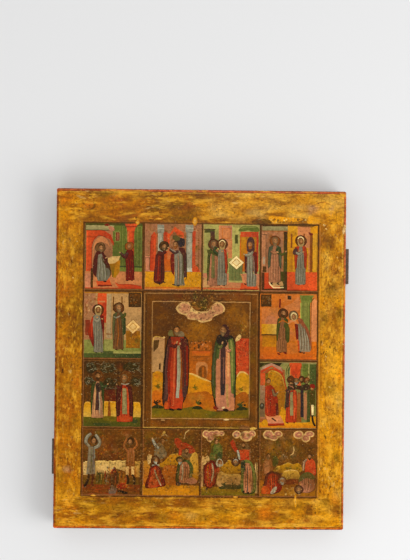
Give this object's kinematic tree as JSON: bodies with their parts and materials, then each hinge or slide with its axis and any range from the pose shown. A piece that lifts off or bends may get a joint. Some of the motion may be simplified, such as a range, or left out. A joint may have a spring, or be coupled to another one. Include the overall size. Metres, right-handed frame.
{
  "type": "painted panel icon",
  "caption": "Rectangular wooden panel icon with a painted gesso face and two tapered dovetail splines let into its back, lying face up.",
  "frame": {"origin": "on the surface that the splines rest on, under the middle of the board", "axes": "+Z out of the painted face, +Y to the top of the picture, +X to the picture's right"},
  "size_m": [0.313, 0.3556, 0.0303],
  "materials": {
    "board_wood": "aged, hand-planed, dusty brown",
    "spline_wood": "aged, darker than the board",
    "painted_gesso": "egg tempera on gesso under an amber, worn and speckled varnish"
  },
  "bodies": {
    "root": {"icon_board": "board_wood", "painted_ground": "painted_gesso", "upper_spline": "spline_wood", "lower_spline": "spline_wood"}
  },
  "joints": []
}
